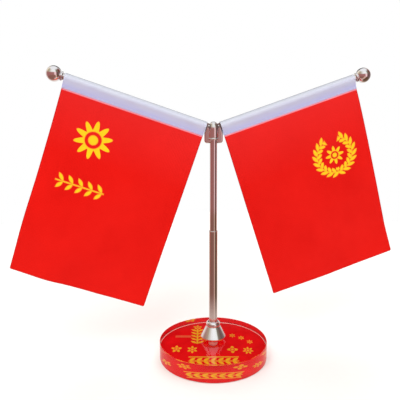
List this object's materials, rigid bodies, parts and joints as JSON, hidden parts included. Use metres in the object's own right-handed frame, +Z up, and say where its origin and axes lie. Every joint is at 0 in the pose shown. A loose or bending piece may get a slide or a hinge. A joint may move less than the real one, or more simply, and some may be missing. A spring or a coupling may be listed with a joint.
{
  "type": "desk flag stand",
  "caption": "Tabletop stand with a clear round base, a telescopic chrome pole and a swivelling hub whose folding arms carry small cloth flags on sewn sleeves.",
  "frame": {"origin": "centre of the base's underside, on the table", "axes": "+Z up the pole; the two arms and the flags lie in the XZ plane, so +X is the longest extent; the flags' faces look along Y"},
  "size_m": [0.218, 0.06, 0.1586],
  "materials": {
    "clear_acrylic": "polished clear acrylic",
    "printed_film": "printed film, gloss",
    "chrome": "polished chrome plate",
    "plated_steel": "bright zinc plate",
    "brass": "turned",
    "satin_tape": "white satin tape",
    "red_cloth": "plain woven polyester, printed"
  },
  "bodies": {
    "base": {"base_disc": "clear_acrylic", "print_film": "printed_film", "base_stud": "plated_steel", "cone_nut": "chrome", "cone_collar": "chrome", "lower_tube": "chrome"},
    "slider": {"friction_spring": "brass"},
    "mast": {"end_plug": "brass", "upper_tube": "chrome", "hub_body": "chrome", "left_hinge_pin": "plated_steel", "right_hinge_pin": "plated_steel"},
    "left_arm": {"left_arm_eye": "plated_steel", "left_arm_tube": "chrome", "left_finial": "chrome"},
    "right_arm": {"right_arm_eye": "plated_steel", "right_arm_tube": "chrome", "right_finial": "chrome"},
    "left_flag": {"left_flag_sleeve": "satin_tape", "left_flag_cloth": "red_cloth"},
    "right_flag": {"right_flag_sleeve": "satin_tape", "right_flag_cloth": "red_cloth"}
  },
  "joints": [
    {"name": "pole_extend", "type": "slide", "parent": "base", "child": "slider", "axis": [0, 0, 1], "range_m": [-0.028, 0]},
    {"name": "pole_swivel", "type": "hinge", "parent": "slider", "child": "mast", "pos_m": [0, 0, 0.1], "axis": [0, 0, 1], "continuous": true},
    {"name": "left_arm_fold", "type": "hinge", "parent": "mast", "child": "left_arm", "pos_m": [-0.0026, 0, 0.1281], "axis": [0, 1, 0], "range_deg": [0, 35]},
    {"name": "right_arm_fold", "type": "hinge", "parent": "mast", "child": "right_arm", "pos_m": [0.0026, 0, 0.1281], "axis": [0, -1, 0], "range_deg": [0, 35]},
    {"name": "left_flag_swing", "type": "hinge", "parent": "left_arm", "child": "left_flag", "pos_m": [-0.0026, 0, 0.1281], "axis": [-0.9455, 0, 0.3256], "range_deg": [-75, 75]},
    {"name": "right_flag_swing", "type": "hinge", "parent": "right_arm", "child": "right_flag", "pos_m": [0.0026, 0, 0.1281], "axis": [0.9455, 0, 0.3256], "range_deg": [-75, 75]}
  ]
}
